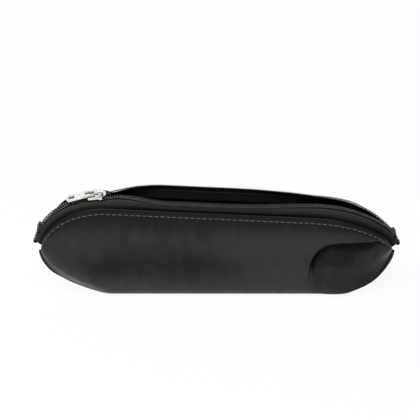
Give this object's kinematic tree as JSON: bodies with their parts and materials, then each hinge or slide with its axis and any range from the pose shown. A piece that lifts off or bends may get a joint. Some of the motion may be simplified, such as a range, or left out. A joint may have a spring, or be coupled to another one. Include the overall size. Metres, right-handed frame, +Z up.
{
  "type": "zipped pen case",
  "caption": "Long narrow leather case with rounded ends, standing upright, closed along the top by a coil zip with a metal slider and pull tab.",
  "frame": {"origin": "middle of the flat base, at floor height", "axes": "+X along the case, away from the slider's closed end; -Y towards the front panel; +Z up, towards the zip"},
  "size_m": [0.2012, 0.0282, 0.0614],
  "materials": {
    "panel_leather": "satin",
    "piping_leather": "satin",
    "lining_cloth": "matte",
    "zip_tape": "matte",
    "filler_cord": "matte",
    "sewing_thread": "satin",
    "coil_nylon": "satin",
    "stop_metal": "satin",
    "slider_nickel": "polished",
    "spring_steel": "satin"
  },
  "bodies": {
    "shell": {"front_panel": "panel_leather", "back_panel": "panel_leather", "front_lining": "lining_cloth", "back_lining": "lining_cloth", "front_tape_margin": "zip_tape", "back_tape_margin": "zip_tape", "piping_cover": "piping_leather", "piping_cord": "filler_cord", "front_stitching": "sewing_thread", "back_stitching": "sewing_thread", "left_zip_end": "zip_tape", "right_zip_end": "zip_tape", "bottom_stop": "stop_metal", "front_top_stop": "stop_metal", "back_top_stop": "stop_metal"},
    "slider": {"slider_body": "slider_nickel", "slider_bridge": "slider_nickel", "lock_spring": "spring_steel"},
    "pull": {"pull_tab": "slider_nickel"},
    "front_zip_half": {"front_tape": "zip_tape", "front_coil": "coil_nylon", "front_coil_cord": "filler_cord"},
    "back_zip_half": {"back_tape": "zip_tape", "back_coil": "coil_nylon", "back_coil_cord": "filler_cord"}
  },
  "joints": [
    {"name": "slider_slide", "type": "slide", "parent": "shell", "child": "slider", "axis": [0.9987, 0, -0.0506], "range_m": [0, 0.13]},
    {"name": "pull_swing", "type": "hinge", "parent": "slider", "child": "pull", "pos_m": [-0.06724, 0, 0.05985], "axis": [0, 1, 0], "range_deg": [0, 165]},
    {"name": "front_zip_close", "type": "hinge", "parent": "shell", "child": "front_zip_half", "pos_m": [0, -0.0071, 0.05065], "axis": [0.9987, 0, -0.0506], "range_deg": [-82, 0], "deforming": ["front_tape", "front_coil", "front_coil_cord"]},
    {"name": "back_zip_close", "type": "hinge", "parent": "shell", "child": "back_zip_half", "pos_m": [0, 0.0071, 0.05065], "axis": [0.9987, 0, -0.0506], "range_deg": [0, 82], "deforming": ["back_tape", "back_coil", "back_coil_cord"]}
  ],
  "couplings": [
    {"joint": "front_zip_close", "follows": "slider_slide", "rad_per_m": -11.009},
    {"joint": "back_zip_close", "follows": "slider_slide", "rad_per_m": 11.009}
  ]
}
